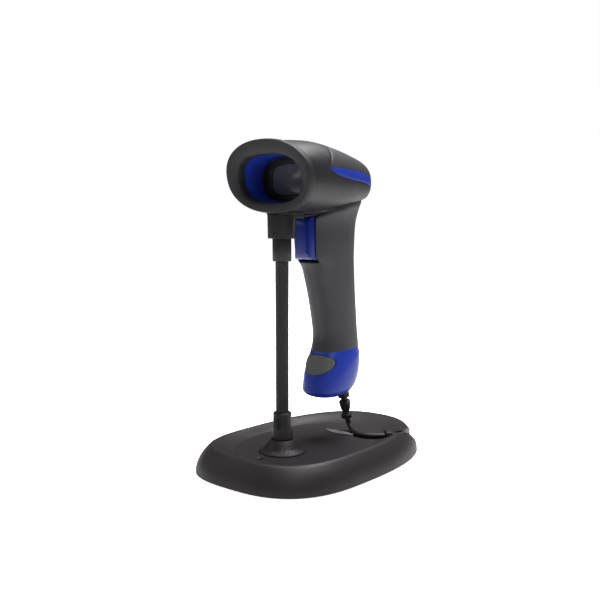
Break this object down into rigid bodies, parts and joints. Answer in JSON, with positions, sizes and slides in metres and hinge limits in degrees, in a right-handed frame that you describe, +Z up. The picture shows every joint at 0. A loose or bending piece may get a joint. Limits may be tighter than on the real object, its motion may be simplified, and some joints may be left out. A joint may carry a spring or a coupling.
{
  "type": "handheld barcode scanner on stand",
  "caption": "Pistol-grip barcode scanner with rubber-ringed nose, trigger and corded grip, resting on a weighted oval stand with a flexible gooseneck holder.",
  "frame": {"origin": "under the middle of the stand's base, at the feet", "axes": "+Z up, -Y the way the scanner looks, X across"},
  "size_m": [0.1455, 0.2148, 0.2209],
  "materials": {
    "stand_plastic": "fine-grained satin black",
    "under_plastic": "matte",
    "weight_steel": "zinc plated",
    "black_rubber": "matte",
    "screw_steel": "plated",
    "badge_silver": "satin",
    "neck_satin": "satin black",
    "neck_sleeve": "satin black",
    "nose_rubber": "matte",
    "blue_plastic": "satin royal blue",
    "trigger_blue": "glossy dark blue",
    "black_plastic": "satin",
    "smoked_window": "smoked, glossy",
    "dark_grey_plastic": "fine-grained satin",
    "grey_plastic": "fine-grained satin",
    "light_grey_plastic": "satin",
    "green_board": "solder mask",
    "clear_lamp": "clear",
    "cord_black": "satin",
    "plug_steel": "plated"
  },
  "bodies": {
    "stand": {"base_shell": "stand_plastic", "bottom_plate": "under_plastic", "base_weight": "weight_steel", "rubber_feet": "black_rubber", "base_screws": "screw_steel", "badge_plate": "badge_silver", "cord_clip": "stand_plastic", "neck_collar": "stand_plastic", "neck_nut": "screw_steel", "lower_ferrule": "neck_satin", "gooseneck_lower": "neck_sleeve", "cord_run": "cord_black", "cord_hank": "cord_black", "cord_tie": "black_rubber", "usb_grip": "cord_black", "usb_shell": "plug_steel"},
    "holder": {"gooseneck_upper": "neck_sleeve", "upper_ferrule": "neck_satin", "cradle": "stand_plastic", "cradle_pad": "black_rubber"},
    "scanner": {"nose_bumper": "nose_rubber", "tunnel_liner": "blue_plastic", "window_frame": "black_plastic", "scan_window": "smoked_window", "head_shell": "dark_grey_plastic", "top_cover": "grey_plastic", "side_trim": "blue_plastic", "grip_left": "grey_plastic", "grip_right": "grey_plastic", "toe_inlay": "light_grey_plastic", "end_cap": "blue_plastic", "inner_chassis": "black_plastic", "main_board": "green_board", "board_screws": "screw_steel", "engine_frame": "black_plastic", "sensor_board": "green_board", "lens_barrel": "black_plastic", "led_lamps": "clear_lamp", "beeper": "black_plastic", "trigger_switch": "black_plastic", "trigger_pin": "screw_steel", "trigger_spring": "screw_steel", "cord_jack": "black_plastic", "cord_plug": "cord_black", "plug_boot": "cord_black"},
    "trigger": {"trigger": "trigger_blue"}
  },
  "joints": [
    {"name": "neck_bend", "type": "hinge", "parent": "stand", "child": "holder", "pos_m": [0, -0.036, 0.092], "axis": [1, 0, 0], "range_deg": [-4, 20], "deforming": ["cord_run"]},
    {"name": "scanner_lift", "type": "slide", "parent": "holder", "child": "scanner", "axis": [0, -0.2419, 0.9703], "range_m": [0, 0.028], "deforming": ["cord_run"]},
    {"name": "trigger_pull", "type": "hinge", "parent": "scanner", "child": "trigger", "pos_m": [0, -0.0065, 0.1685], "axis": [1, 0, 0], "range_deg": [0, 7], "stiffness_Nm_per_rad": 0.6, "springref_deg": -5.73, "deforming": ["trigger_spring"]}
  ]
}
